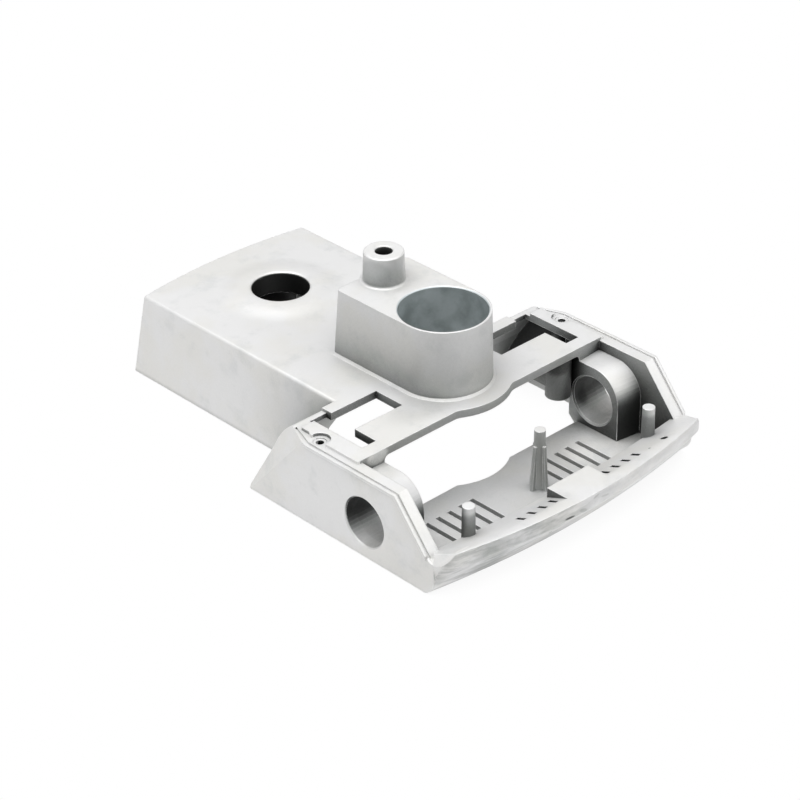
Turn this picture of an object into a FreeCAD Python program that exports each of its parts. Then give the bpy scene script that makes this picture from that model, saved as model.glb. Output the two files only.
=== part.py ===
"""Die cast housing, one aluminium casting.

The casting is a shallow shell that stands on its lower edges. A deck carries an upright
tower with a large bore and a small boss. A drafted hood with a round neck closes the rear.
Two cheeks stand at the sides and carry cross bores, and a vented floor joins them at the
front behind a curved lip. The origin is on the axis of the large bore, in the plane that
the casting stands on. Right is +X, rear is +Y and up is +Z, in millimetres.
"""
import FreeCAD, Part
import os
import re

import Sketcher
from FreeCAD import Vector

# Driving sizes: the name of each cell, its value and what it measures.
SIZES = {
    "deck_top": (43.5, "height of the deck's upper face"),
    "deck_wall": (4.1, "thickness of the deck plate"),
    "land_drop": (1.5, "step from the deck down to the rim land of the cheeks"),
    "bar_front": (26.6, "front edge of the crossbar, ahead of the bore axis"),
    "bulge_radius": (31.7, "bulge of the crossbar about the bore axis"),
    "bulge_blend": (7.0, "blend between the bulge and the straight crossbar"),
    "deck_half_width": (77.6, "half width of the raised deck at the crossbar"),
    "deck_ear_half_width": (75.9, "half width of the raised deck behind the screws"),
    "deck_ear_front": (2.6, "where the raised deck starts to narrow"),
    "deck_ear_taper": (4.3, "length over which the raised deck narrows"),
    "deck_ear_rear": (11.7, "rear edge of the raised deck beside the windows"),
    "band_half_width": (58.5, "half width of the band that borders the hood"),
    "band_rear": (17.5, "rear end of the deck plate, inside the hood"),
    "window_inner": (31.4, "inner edge of each window"),
    "window_outer": (68.4, "outer edge of each window"),
    "window_front": (5.9, "front edge of each window, ahead of the bore axis"),
    "window_rear": (11.2, "rear edge of each window"),
    "window_notch_rear": (14.6, "rear edge of the notch at the window's outer end"),
    "slot_inner": (60.2, "inner edge of the slot that runs forward from the window"),
    "slot_front": (19.5, "front end of that slot, ahead of the bore axis"),
    "tower_half_width": (22.05, "half width of the tower at its top, also its nose radius"),
    "tower_foot_half_width": (22.7, "half width of the tower at the deck"),
    "tower_rear": (46.65, "rear face of the tower at its top"),
    "tower_foot_rear": (49.6, "rear face of the tower at the deck"),
    "tower_top": (77.9, "height of the tower's upper face"),
    "tower_corner": (1.8, "radius of the tower's rear corners"),
    "tower_wall": (3.6, "wall of the cored part of the tower"),
    "tower_core_front": (24.4, "front of the core behind the bore"),
    "tower_foot_blend": (1.0, "slope where the tower meets the deck"),
    "bore_radius": (20.65, "radius of the large bore"),
    "bore_edge": (0.5, "break of the edge at the mouth of the large bore"),
    "boss_centre": (38.6, "axis of the small boss, behind the bore axis"),
    "boss_radius": (9.4, "radius of the small boss at its top"),
    "boss_foot_radius": (9.9, "radius of the small boss at the tower"),
    "boss_top": (92.7, "height of the small boss"),
    "boss_edge": (0.5, "break of the small boss's upper edge"),
    "boss_blend": (1.4, "hollow round the foot of the small boss"),
    "boss_bore_radius": (4.1, "radius of the bore in the small boss"),
    "boss_bore_edge": (0.4, "break of the edge at the mouth of that bore"),
    "hood_half_width": (51.0, "half width of the hood at its top"),
    "hood_foot_half_width": (53.4, "half width of the hood at its lower edge"),
    "hood_length": (157.8, "rear of the hood at its top, on the centre line"),
    "hood_foot_length": (166.3, "rear of the hood at its lower edge, on the centre line"),
    "hood_bow": (285.0, "plan radius of the hood's rear wall"),
    "hood_front": (12.4, "front edge of the hood's top"),
    "hood_wall": (3.5, "side and rear wall of the hood"),
    "hood_corner": (2.0, "radius of the hood's upright rear corners"),
    "hood_edge": (1.8, "rounding of the hood's upper edges"),
    "neck_centre": (111.7, "axis of the hood's neck, behind the bore axis"),
    "neck_radius": (13.8, "throat radius of the neck"),
    "neck_roll": (1.5, "radius of the rolled-in mouth of the neck"),
    "neck_flat": (1.0, "width of the level ring round that mouth"),
    "neck_mound_radius": (32.6, "radius at which the mound round the neck runs out"),
    "neck_mound_rise": (1.9, "height of the mound above the deck"),
    "neck_wall": (3.5, "wall of the collar under the neck"),
    "neck_collar": (5.0, "length of that collar under the deck plate"),
    "cheek_inner": (75.0, "inner face of each cheek"),
    "cheek_outer": (82.6, "outer face of each cheek"),
    "cheek_rear": (43.0, "rear end of each cheek on the standing plane"),
    "cheek_front": (78.5, "front end of each cheek"),
    "cheek_corner": (9.0, "radius of each cheek's lower front corner"),
    "cheek_heel": (3.3, "length over which each cheek's lower rear corner is rounded"),
    "cheek_edge": (1.5, "rounding of each cheek's lower outer edge"),
    "cheek_nose": (75.0, "front end of each cheek at the foot of the slope"),
    "cheek_nose_height": (18.2, "height of the foot of the cheek's front slope"),
    "cheek_tip_height": (17.4, "height of the cheek's front end"),
    "cheek_slope_top": (55.0, "front end of the cheek's level rim, ahead of the bore axis"),
    "cheek_rim_rear": (17.0, "rear end of the cheek's level rim"),
    "shoulder_rear": (29.2, "knee of the sloping rear wall"),
    "shoulder_height": (26.5, "height of that knee"),
    "shoulder_hollow": (27.0, "radius of the hollow above that knee"),
    "skirt_wall": (3.8, "wall of the sloping rear wall"),
    "bevel_front": (2.8, "front end of the bevel on the cheek's upper rear corner"),
    "bevel_inner": (76.9, "inner end of that bevel at the top"),
    "bevel_top_rear": (16.2, "rear end of that bevel at the top"),
    "bevel_foot_front": (40.5, "front end of that bevel on the standing plane"),
    "bevel_foot_inner": (81.8, "inner end of that bevel on the standing plane"),
    "rim_step": (0.5, "width by which the rim stands out from the cheek's outer face"),
    "rim_height": (1.4, "height of that rim"),
    "groove_place": (81.0, "centre line of the groove in the cheek's rim"),
    "groove_width": (1.1, "width of that groove"),
    "groove_depth": (0.9, "depth of that groove"),
    "groove_rear": (1.9, "rear end of the straight part of that groove"),
    "groove_tail_place": (76.3, "inner end of the part of that groove that turns in"),
    "groove_tail_rear": (15.1, "rear end of that part"),
    "screw_place": (76.5, "side distance of each screw hole"),
    "screw_front": (1.1, "how far each screw hole is ahead of the bore axis"),
    "screw_hole_radius": (1.85, "radius of the core hole for a thread-forming screw"),
    "screw_relief_radius": (4.9, "radius of the relief in the deck round each screw hole"),
    "screw_boss_radius": (4.6, "radius of the boss under each screw hole"),
    "screw_boss_length": (13.0, "length of that boss under the deck plate"),
    "screw_depth": (15.0, "depth of each screw hole under the rim land"),
    "screw_spot_radius": (3.2, "radius of the spot face round each screw hole"),
    "screw_spot_depth": (0.4, "depth of that spot face"),
    "floor_wall": (3.4, "thickness of the floor"),
    "floor_rear": (26.0, "rear edge of the floor, ahead of the bore axis"),
    "floor_bulge_radius": (31.0, "bulge of the floor's rear edge about the bore axis"),
    "lip_top": (24.75, "height of the lip"),
    "lip_band_foot": (18.0, "lower edge of the lip's upright band"),
    "lip_front": (95.7, "front of the lip on the centre line, ahead of the bore axis"),
    "lip_half_width": (75.8, "half width of the lip's bowed front, where its corners begin"),
    "lip_corner": (8.8, "plan radius of the lip's corners"),
    "lip_bow": (329.0, "plan radius of the lip's front face"),
    "lip_foot_front": (80.3, "front of the lip at the standing plane, on the centre line"),
    "lip_foot_half_width": (79.4, "half width of that front at the standing plane"),
    "lip_foot_corner": (4.0, "plan radius of the lip's corners at the standing plane"),
    "lip_foot_side": (69.6, "where those corners meet the cheeks, ahead of the bore axis"),
    "lip_foot_bow": (460.0, "plan radius of the lip's front at the standing plane"),
    "lip_crease": (90.4, "where the ledge reaches the height of the lip on the centre line"),
    "ledge_angle": (22.2, "slope of the ledge in degrees"),
    "ledge_rear": (75.6, "rear edge of the ledge on the centre line"),
    "ledge_bow": (700.0, "plan radius of the crease between lip and ledge"),
    "lip_bevel": (77.0, "where the lip's top starts to fall to the cheek's front end"),
    "lip_wall": (3.4, "wall of the hollow lip"),
    "lip_inner_foot": (68.0, "foot of the wall between floor and ledge"),
    "vent_first": (20.4, "side distance of the innermost vent"),
    "vent_pitch": (7.0, "distance from one vent to the next"),
    "vent_width": (2.4, "width of each vent"),
    "vent_rear": (38.3, "rear end of the vents, ahead of the bore axis"),
    "vent_front": (65.0, "front end of the vents, ahead of the bore axis"),
    "louvre_first": (16.6, "side distance of the innermost slot in the ledge"),
    "louvre_pitch": (6.65, "distance from one of those slots to the next"),
    "louvre_width": (2.0, "width of each of those slots"),
    "louvre_rear": (82.3, "rear end of those slots, ahead of the bore axis"),
    "louvre_front": (87.5, "front end of those slots, ahead of the bore axis"),
    "land_pad_half_width": (13.05, "half width of the pad on the ledge"),
    "land_pad_rear": (77.9, "rear end of that pad, ahead of the bore axis"),
    "land_pad_root": (17.0, "height from which that pad is solid"),
    "post_top": (34.05, "height of the three posts"),
    "post_place": (57.2, "side distance of the two plain posts"),
    "post_front": (73.8, "how far the plain posts are ahead of the bore axis"),
    "post_radius": (2.9, "radius of the plain posts at their tops"),
    "post_foot_radius": (3.4, "radius of the plain posts at the floor"),
    "pillar_place": (8.5, "side distance of the ribbed pillar, on the right"),
    "pillar_front": (52.7, "how far the ribbed pillar is ahead of the bore axis"),
    "pillar_radius": (2.6, "radius of the pillar at its top"),
    "pillar_foot_radius": (3.1, "radius of the pillar at the floor"),
    "pillar_rib_top": (26.2, "height of the pillar's four ribs"),
    "pillar_rib_reach": (3.4, "reach of the ribs from the axis at their tops"),
    "pillar_rib_foot_reach": (5.1, "reach of the ribs from the axis at the floor"),
    "pillar_rib_wall": (1.7, "thickness of the ribs"),
    "lug_face": (61.7, "inner face of the lug inside each cheek"),
    "lug_top": (36.3, "height of the lug at that face"),
    "lug_root_top": (36.9, "height of the lug at the cheek"),
    "lug_front": (51.2, "front of the lug at that face, ahead of the bore axis"),
    "lug_root_front": (53.4, "front of the lug at the cheek, ahead of the bore axis"),
    "lug_rear": (20.8, "rear of the lug, ahead of the bore axis"),
    "lug_round": (15.0, "radius of the lug's upper front corner"),
    "lug_cut": (3.7, "cut at the lug's lower rear corner"),
    "lug_blend": (2.6, "hollow between the lug's inner face and the crossbar"),
    "cross_bore_front": (35.2, "how far the cross bores are ahead of the bore axis"),
    "cross_bore_height": (18.5, "height of the cross bores"),
    "cross_bore_radius": (12.0, "radius of the cross bores"),
    "cross_bore_edge": (0.8, "break of the edges of the cross bores"),
    "hanger_place": (55.9, "side distance of the round hanger under the crossbar, on the right"),
    "hanger_front": (18.9, "how far the hanger is ahead of the bore axis"),
    "hanger_radius": (6.1, "radius of the hanger"),
    "hanger_foot": (17.5, "height of the hanger's lower end"),
    "web_place": (52.0, "side distance of the web behind the hanger"),
    "web_wall": (3.0, "thickness of that web"),
    "web_foot": (22.8, "height of that web's lower edge"),
    "web_rear": (6.6, "rear end of that web, ahead of the bore axis"),
    "lip_hole_place": (55.4, "side distance of the small hole in the ledge, on the right"),
    "lip_hole_front": (85.1, "how far that hole is ahead of the bore axis"),
    "lip_hole_radius": (1.7, "radius of that hole"),
}
VENTS_PER_SIDE = 5
LOUVRES_PER_SIDE = 4
BOTH_SIDES = ("-1", "1")
# How far a cut runs out past the material that it takes away.
MARGIN = 2.0
# How deep an added piece reaches into the one that it grows from.
OVERLAP = 0.5
# How close an edge lies to where a formula puts it, to count as being there.
TOLERANCE = 0.05

document = FreeCAD.newDocument("die_cast_housing")


def make_sheet():
    """Put the driving sizes into the sheet, each with its name as the cell's alias."""
    sheet = document.addObject("Spreadsheet::Sheet", "Sizes")
    for row, (name, (value, meaning)) in enumerate(SIZES.items(), start=1):
        sheet.set(f"A{row}", name)
        sheet.set(f"B{row}", str(value))
        sheet.setAlias(f"B{row}", name)
        sheet.set(f"C{row}", meaning)
    document.recompute()
    return sheet


def cells(formula):
    """The formula with each size's name turned into a reference to its cell."""
    words = re.compile(r"[a-z][a-z_]+")
    return words.sub(lambda word: f"Sizes.{word[0]}" if word[0] in SIZES else word[0], str(formula))


def value_of(formula):
    """The number that a formula of the sheet gives now."""
    return float(housing.evalExpression(cells(formula)))


def origin_plane(role):
    """One of the three origin planes of the casting's body."""
    return next(plane for plane in housing.Origin.OriginFeatures if plane.Role == role)


def new_sketch(name, role, place=("0", "0", "0"), tilt="0"):
    """An empty sketch on an origin plane, moved by place and turned by tilt about its own X."""
    sketch = housing.newObject("Sketcher::SketchObject", name)
    sketch.AttachmentSupport = [(origin_plane(role), "")]
    sketch.MapMode = "FlatFace"
    sketch.AttachmentOffset = FreeCAD.Placement(Vector(0, 0, 0), Vector(1, 0, 0), value_of(tilt))
    for axis, formula in zip("xyz", place):
        sketch.setExpression(f"AttachmentOffset.Base.{axis}", cells(formula))
    if tilt != "0":
        sketch.setExpression("AttachmentOffset.Rotation.Angle", cells(tilt))
    return sketch


def arc_between(start, end, radius, side):
    """The shorter arc from start to end. It bulges to the left (+1) or the right (-1)."""
    chord = end - start
    rise = max(radius ** 2 - (chord.Length / 2) ** 2, 0) ** 0.5
    left = Vector(-chord.y, chord.x, 0).normalize()
    centre = (start + end) / 2 - left * rise * side
    crest = centre + left * radius * side
    return Part.Arc(start, crest, end), side < 0


def add_outline(sketch, corners):
    """Add a closed outline to a sketch and tie it to the sheet.

    Each corner is (across, up) as formulas, with a radius formula and a side added where
    the outline goes on to the next corner along an arc.
    """
    points = [Vector(value_of(corner[0]), value_of(corner[1]), 0) for corner in corners]
    ends = []
    for index, corner in enumerate(corners):
        start, end = points[index], points[(index + 1) % len(points)]
        if len(corner) == 2:
            ends.append((sketch.addGeometry(Part.LineSegment(start, end), False), 1, 2))
            continue
        arc, anticlockwise = arc_between(start, end, value_of(corner[2]), corner[3])
        piece = sketch.addGeometry(arc, False)
        ends.append((piece, 1, 2) if anticlockwise else (piece, 2, 1))
    for index, corner in enumerate(corners):
        piece, first, _ = ends[index]
        before, _, last = ends[index - 1]
        sketch.addConstraint(Sketcher.Constraint("Coincident", before, last, piece, first))
        for kind, formula, number in (("DistanceX", corner[0], points[index].x),
                                      ("DistanceY", corner[1], points[index].y)):
            size = sketch.addConstraint(Sketcher.Constraint(kind, -1, 1, piece, first, number))
            sketch.setExpression(f"Constraints[{size}]", cells(formula))
        if len(corner) > 2:
            radius = value_of(corner[2])
            size = sketch.addConstraint(Sketcher.Constraint("Radius", piece, radius))
            sketch.setExpression(f"Constraints[{size}]", cells(corner[2]))


def outline(name, role, corners, **place):
    """A sketch with one closed outline."""
    sketch = new_sketch(name, role, **place)
    add_outline(sketch, corners)
    return sketch


def circle(name, role, centre, radius, **place):
    """A sketch with one circle. Its centre and radius are formulas."""
    sketch = new_sketch(name, role, **place)
    middle = Vector(value_of(centre[0]), value_of(centre[1]), 0)
    ring = sketch.addGeometry(Part.Circle(middle, Vector(0, 0, 1), value_of(radius)), False)
    for kind, formula, number in (("DistanceX", centre[0], middle.x), ("DistanceY", centre[1], middle.y)):
        size = sketch.addConstraint(Sketcher.Constraint(kind, -1, 1, ring, 3, number))
        sketch.setExpression(f"Constraints[{size}]", cells(formula))
    size = sketch.addConstraint(Sketcher.Constraint("Radius", ring, value_of(radius)))
    sketch.setExpression(f"Constraints[{size}]", cells(radius))
    return sketch


def extrude(kind, name, profile, length, **settings):
    """A Pad or Pocket of a profile. Its length is a formula."""
    feature = housing.newObject(f"PartDesign::{kind}", name)
    feature.Profile = profile
    for setting, value in settings.items():
        setattr(feature, setting, value)
    feature.setExpression("Length", cells(length))
    return feature


def pad(name, profile, length, **settings):
    """Material added along the normal of the profile's plane."""
    return extrude("Pad", name, profile, length, **settings)


def pocket(name, profile, length, **settings):
    """Material taken away against the normal of the profile's plane."""
    return extrude("Pocket", name, profile, length, **settings)


def loft(kind, name, first, last):
    """A ruled loft between two profiles."""
    feature = housing.newObject(f"PartDesign::{kind}Loft", name)
    feature.Profile = first
    feature.Sections = [last]
    feature.Ruled = True
    return feature


def turn(kind, name, profile, axis="V_Axis"):
    """A Revolution or Groove of a profile about an axis of its sketch, the upright one unless told."""
    feature = housing.newObject(f"PartDesign::{kind}", name)
    feature.Profile = profile
    feature.ReferenceAxis = (profile, [axis])
    feature.Angle = 360
    return feature


def mirror(name, features):
    """The same features on the other side of the middle plane."""
    feature = housing.newObject("PartDesign::Mirrored", name)
    feature.Originals = features
    feature.MirrorPlane = (origin_plane("YZ_Plane"), [""])
    housing.Tip = feature
    return feature


def spots(edge):
    """The ends and the middle of an edge."""
    first, last = edge.FirstParameter, edge.LastParameter
    return [edge.valueAt(first + share * (last - first)) for share in (0, 0.5, 1)]


def edges_of(feature, test):
    """The names of the feature's edges whose ends and middle all pass the test."""
    document.recompute()
    return [f"Edge{number}" for number, edge in enumerate(feature.Shape.Edges, start=1)
            if all(test(spot) for spot in spots(edge))]


def soften(kind, name, feature, test, size):
    """A Fillet or Chamfer of the feature's edges that pass the test."""
    names = edges_of(feature, test)
    edge_feature = housing.newObject(f"PartDesign::{kind}", name)
    edge_feature.Base = (feature, names)
    edge_feature.setExpression("Radius" if kind == "Fillet" else "Size", cells(size))
    return edge_feature


def near(number, formula):
    """Whether a coordinate is where a formula of the sheet puts it."""
    return abs(number - value_of(formula)) < TOLERANCE


def beyond(number, formula):
    """Whether a coordinate is at or past the place that a formula of the sheet gives."""
    return number > value_of(formula) - TOLERANCE


def bow(front, radius, half_width):
    """The formula for where an arc that crosses the centre line at front meets half_width."""
    return f"({front}) - ({radius}) + sqrt(({radius})^2 - ({half_width})^2)"


def make_floor():
    """The floor, whose rear edge follows the bulge of the crossbar above it."""
    meet = "sqrt(floor_bulge_radius^2 - floor_rear^2)"
    corners = [
        (f"-cheek_inner - {OVERLAP}", "-floor_rear"),
        (f"-{meet}", "-floor_rear", "floor_bulge_radius", -1),
        (meet, "-floor_rear"),
        (f"cheek_inner + {OVERLAP}", "-floor_rear"),
        (f"cheek_inner + {OVERLAP}", "-lip_inner_foot - lip_wall"),
        (f"-cheek_inner - {OVERLAP}", "-lip_inner_foot - lip_wall"),
    ]
    pad("floor", outline("floor_outline", "XY_Plane", corners), "floor_wall")


def lip_corners(front, bow_radius, half_width, corner, side_front, rear):
    """Plan outline of the lip at one height. Its rear edge runs beside the crease."""
    front_side = f"-({bow(front, bow_radius, half_width)})"
    rear_bow = f"(ledge_bow - lip_crease + {rear})"
    rear_side = f"-({bow(rear, rear_bow, 'cheek_inner')})"
    return [
        (f"-{half_width}", front_side, bow_radius, -1),
        (half_width, front_side, corner, -1),
        ("cheek_outer", f"-{side_front}"),
        ("cheek_inner", rear_side, rear_bow, 1),
        ("-cheek_inner", rear_side),
        ("-cheek_outer", f"-{side_front}", corner, -1),
    ]


def make_lip():
    """The hollow lip: a slanting lower face, an upright band and a sloping ledge on top."""
    foot = lip_corners("lip_foot_front", "lip_foot_bow", "lip_foot_half_width",
                       "lip_foot_corner", "lip_foot_side", "lip_inner_foot")
    band = lip_corners("lip_front", "lip_bow", "lip_half_width", "lip_corner", "cheek_front",
                       "ledge_rear")
    band_place = ("0", "0", "lip_band_foot")
    loft("Additive", "lip_face", outline("lip_foot_outline", "XY_Plane", foot),
         outline("lip_band_outline", "XY_Plane", band, place=band_place))
    pad("lip_band", outline("lip_rim_outline", "XY_Plane", band, place=band_place),
        "lip_top - lip_band_foot")
    ledge_end = "lip_crease - lip_inner_foot"
    slope = [
        ("-ledge_bow", "lip_top"),
        ("-ledge_bow", f"lip_top + {MARGIN}"),
        (f"-ledge_bow + {ledge_end}", f"lip_top + {MARGIN}"),
        (f"-ledge_bow + {ledge_end}", f"lip_top - ({ledge_end}) * tan(ledge_angle)"),
    ]
    turn("Groove", "ledge", outline("ledge_outline", "YZ_Plane", slope,
                                    place=("ledge_bow - lip_crease", "0", "0")))


def make_cheeks():
    """The two cheeks and the sloping rear walls between them and the hood."""
    rim = "deck_top - land_drop"
    lean = "sqrt((cheek_rear - shoulder_rear)^2 + shoulder_height^2)"
    heel_radius = f"cheek_heel * shoulder_height / ({lean} + cheek_rear - shoulder_rear)"
    rear = [
        ("cheek_rear - cheek_heel", "0", heel_radius, -1),
        (f"cheek_rear - cheek_heel * (cheek_rear - shoulder_rear) / {lean}",
         f"cheek_heel * shoulder_height / {lean}"),
        ("shoulder_rear", "shoulder_height", "shoulder_hollow", -1),
        ("cheek_rim_rear", rim),
    ]
    cheek = [
        ("-cheek_front + cheek_corner", "0"),
        *rear,
        ("-cheek_slope_top", rim),
        ("-cheek_nose", "cheek_nose_height"),
        ("-cheek_front", "cheek_tip_height"),
        ("-cheek_front", "cheek_corner", "cheek_corner", -1),
    ]
    under = "deck_top - deck_wall"
    skirt = [
        ("cheek_rear - skirt_wall", "0"),
        *rear,
        (f"deck_ear_rear - {OVERLAP}", rim),
        (f"deck_ear_rear - {OVERLAP}", under),
        ("cheek_rim_rear - skirt_wall / 2", under),
        ("shoulder_rear - skirt_wall", "shoulder_height - skirt_wall / 2"),
    ]
    right_cheek = pad("right_cheek", outline("cheek_outline", "YZ_Plane", cheek,
                                             place=("0", "0", "cheek_inner")),
                      "cheek_outer - cheek_inner")
    right_skirt = pad("right_skirt", outline("skirt_outline", "YZ_Plane", skirt,
                                             place=("0", "0", "hood_half_width - hood_wall")),
                      "cheek_inner - hood_half_width + hood_wall")
    mirror("cheeks", [right_cheek, right_skirt])


def make_deck():
    """The deck plate with its crossbar, bulge and the ears beside the screws."""
    meet = "sqrt(bulge_radius^2 - bar_front^2)"
    right = [
        (meet, "-bar_front"),
        ("deck_half_width", "-bar_front"),
        ("deck_half_width", "deck_ear_front"),
        ("deck_ear_half_width", "deck_ear_front + deck_ear_taper"),
        ("deck_ear_half_width", "deck_ear_rear"),
        ("band_half_width", "deck_ear_rear"),
        ("band_half_width", "band_rear"),
    ]
    left = [(f"-({across})", up) for across, up in reversed(right)]
    left[-1] = (f"-{meet}", "-bar_front", "bulge_radius", -1)
    plate = outline("deck_outline", "XY_Plane", right + left, place=("0", "0", "deck_top"))
    deck = pad("deck", plate, "deck_wall", Reversed=True)
    soften("Fillet", "bulge_blends", deck,
           lambda spot: near(spot.y, "-bar_front") and near(abs(spot.x), meet), "bulge_blend")


def hood_corners(half_width, length, front, inset):
    """Plan outline of the hood at one height, drawn in by inset at the sides and rear."""
    side = f"({half_width} - {inset})"
    rear = bow(f"{length} - {inset}", "hood_bow", side)
    return [
        (f"-{side}", front),
        (side, front),
        (side, rear, "hood_bow", -1),
        (f"-{side}", rear),
    ]


def make_hood():
    """The drafted hood, hollow from below and open towards the windows."""
    under_place = ("0", "0", "deck_top - deck_wall")
    block = [
        ("-hood_foot_half_width", "hood_front"),
        ("hood_foot_half_width", "hood_front"),
        ("hood_foot_half_width", "hood_foot_length"),
        ("-hood_foot_half_width", "hood_foot_length"),
    ]
    pad("hood_block", outline("hood_outline", "XY_Plane", block), "deck_top")
    side_lean = "((hood_foot_half_width - hood_half_width) / deck_top)"
    side = [
        (f"hood_half_width - {MARGIN} * {side_lean}", f"deck_top + {MARGIN}"),
        (f"hood_foot_half_width + {MARGIN} * {side_lean}", f"-{MARGIN}"),
        (f"hood_foot_half_width + 2 * {MARGIN}", f"-{MARGIN}"),
        (f"hood_foot_half_width + 2 * {MARGIN}", f"deck_top + {MARGIN}"),
    ]
    draft = pocket("hood_side", outline("hood_side_outline", "XZ_Plane", side),
                   "3 * hood_foot_length", Midplane=True)
    mirror("hood_sides", [draft])
    rear_lean = "((hood_foot_length - hood_length) / deck_top)"
    rear = [
        (f"hood_bow - {MARGIN} * {rear_lean}", f"deck_top + {MARGIN}"),
        (f"hood_bow + (deck_top + {MARGIN}) * {rear_lean}", f"-{MARGIN}"),
        ("hood_bow + hood_foot_half_width", f"-{MARGIN}"),
        ("hood_bow + hood_foot_half_width", f"deck_top + {MARGIN}"),
    ]
    hood = turn("Groove", "hood_rear", outline("hood_rear_outline", "YZ_Plane", rear,
                                               place=("hood_length - hood_bow", "0", "0")))
    corner_rear = bow("hood_length", "hood_bow", "hood_half_width")
    corners = soften("Fillet", "hood_corners", hood,
                     lambda spot: beyond(spot.y, corner_rear) and beyond(abs(spot.x), "hood_half_width"),
                     "hood_corner")
    soften("Fillet", "hood_edges", corners,
           lambda spot: near(spot.z, "deck_top") and beyond(spot.y, "hood_front"), "hood_edge")
    foot = hood_corners("hood_foot_half_width", "hood_foot_length", f"hood_front - {MARGIN}", "hood_wall")
    top = hood_corners("hood_half_width", "hood_length", f"hood_front - {MARGIN}", "hood_wall")
    loft("Subtractive", "hood_core", outline("core_foot_outline", "XY_Plane", foot),
         outline("core_top_outline", "XY_Plane", top, place=under_place))
    mouth = [
        ("0", "0"),
        ("cheek_rear - skirt_wall", "0"),
        ("shoulder_rear - skirt_wall", "shoulder_height - skirt_wall / 2"),
        ("cheek_rim_rear - skirt_wall / 2", "deck_top - deck_wall"),
        ("0", "deck_top - deck_wall"),
    ]
    pocket("hood_mouth", outline("mouth_outline", "YZ_Plane", mouth), "2 * band_half_width",
           Midplane=True)


def make_neck():
    """The round neck of the hood: a soft mound, a rolled-in mouth and a collar underneath."""
    under = "deck_top - deck_wall"
    crest = "(deck_top + neck_mound_rise)"
    collar = "(neck_radius + neck_wall)"
    flat = "(neck_radius + neck_roll + neck_flat)"
    run = f"(neck_mound_radius - {flat})"
    sweep = f"(({run}^2 + neck_mound_rise^2) / (4 * neck_mound_rise))"
    place = ("0", "0", "-neck_centre")
    mound = [
        ("0", f"{under} - neck_collar"),
        (collar, f"{under} - neck_collar"),
        (collar, f"{under} + {OVERLAP}"),
        ("neck_mound_radius", f"{under} + {OVERLAP}"),
        ("neck_mound_radius", "deck_top", sweep, 1),
        (f"neck_mound_radius - {run} / 2", "deck_top + neck_mound_rise / 2", sweep, -1),
        (flat, crest),
        ("0", crest),
    ]
    turn("Revolution", "neck_mound", outline("mound_outline", "XZ_Plane", mound, place=place))
    throat = [
        ("0", f"{under} - neck_collar - {MARGIN}"),
        ("neck_radius", f"{under} - neck_collar - {MARGIN}"),
        ("neck_radius", f"{crest} - neck_roll", "neck_roll", 1),
        ("neck_radius + neck_roll", crest),
        ("neck_radius + neck_roll", f"{crest} + {MARGIN}"),
        ("0", f"{crest} + {MARGIN}"),
    ]
    turn("Groove", "neck_throat", outline("throat_outline", "XZ_Plane", throat, place=place))


def tower_corners(half_width, rear):
    """Plan outline of the tower at one height: a round nose, straight sides, a flat rear."""
    return [
        (half_width, rear),
        (f"-{half_width}", rear),
        (f"-{half_width}", "0", half_width, -1),
        ("0", f"-{half_width}", half_width, -1),
        (half_width, "0"),
    ]


def bore_corners(radius, edge, low, high):
    """Half section of an upright bore whose upper edge is broken at 45 degrees."""
    return [
        ("0", f"{low} - {MARGIN}"),
        (radius, f"{low} - {MARGIN}"),
        (radius, f"{high} - {edge}"),
        (f"{radius} + {edge} + {MARGIN}", f"{high} + {MARGIN}"),
        ("0", f"{high} + {MARGIN}"),
    ]


def make_tower():
    """The tower with its large bore, its small boss and the core behind the bore."""
    foot = tower_corners("tower_foot_half_width", "tower_foot_rear")
    top = tower_corners("tower_half_width", "tower_rear")
    tower = loft("Additive", "tower",
                 outline("tower_foot_outline", "XY_Plane", foot,
                         place=("0", "0", f"deck_top - {OVERLAP}")),
                 outline("tower_top_outline", "XY_Plane", top, place=("0", "0", "tower_top")))
    corners = soften("Fillet", "tower_corners", tower,
                     lambda spot: beyond(abs(spot.x), "tower_half_width")
                     and beyond(spot.y, "tower_rear") and beyond(spot.z, "deck_top")
                     and not beyond(abs(spot.x), f"tower_foot_half_width + {MARGIN}"), "tower_corner")
    soften("Chamfer", "tower_foot", corners,
           lambda spot: near(spot.z, "deck_top")
           and not beyond(abs(spot.x), f"tower_foot_half_width + {MARGIN}")
           and beyond(spot.y, f"-tower_foot_half_width - {MARGIN}")
           and not beyond(spot.y, f"tower_foot_rear + {MARGIN}"), "tower_foot_blend")
    boss_place = ("0", "0", "-boss_centre")
    boss = [
        ("0", "deck_top - deck_wall / 2"),
        ("boss_foot_radius + boss_blend", "deck_top - deck_wall / 2"),
        ("boss_foot_radius + boss_blend", "tower_top", "boss_blend", 1),
        ("boss_foot_radius", "tower_top + boss_blend"),
        ("boss_radius", "boss_top - boss_edge"),
        ("boss_radius - boss_edge", "boss_top"),
        ("0", "boss_top"),
    ]
    turn("Revolution", "small_boss", outline("boss_outline", "XZ_Plane", boss, place=boss_place))
    turn("Groove", "large_bore", outline("bore_outline", "XZ_Plane", bore_corners(
        "bore_radius", "bore_edge", "deck_top - deck_wall", "tower_top")))
    turn("Groove", "boss_bore", outline("boss_bore_outline", "XZ_Plane", bore_corners(
        "boss_bore_radius", "boss_bore_edge", "deck_top - deck_wall", "boss_top"), place=boss_place))
    core = [
        ("-tower_half_width + tower_wall", "tower_core_front"),
        ("tower_half_width - tower_wall", "tower_core_front"),
        ("tower_half_width - tower_wall", "tower_rear - tower_wall"),
        ("-tower_half_width + tower_wall", "tower_rear - tower_wall"),
    ]
    pocket("tower_core", outline("tower_core_outline", "XY_Plane", core,
                                 place=("0", "0", "tower_top - tower_wall")),
           "tower_top - deck_top + deck_wall")


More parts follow.
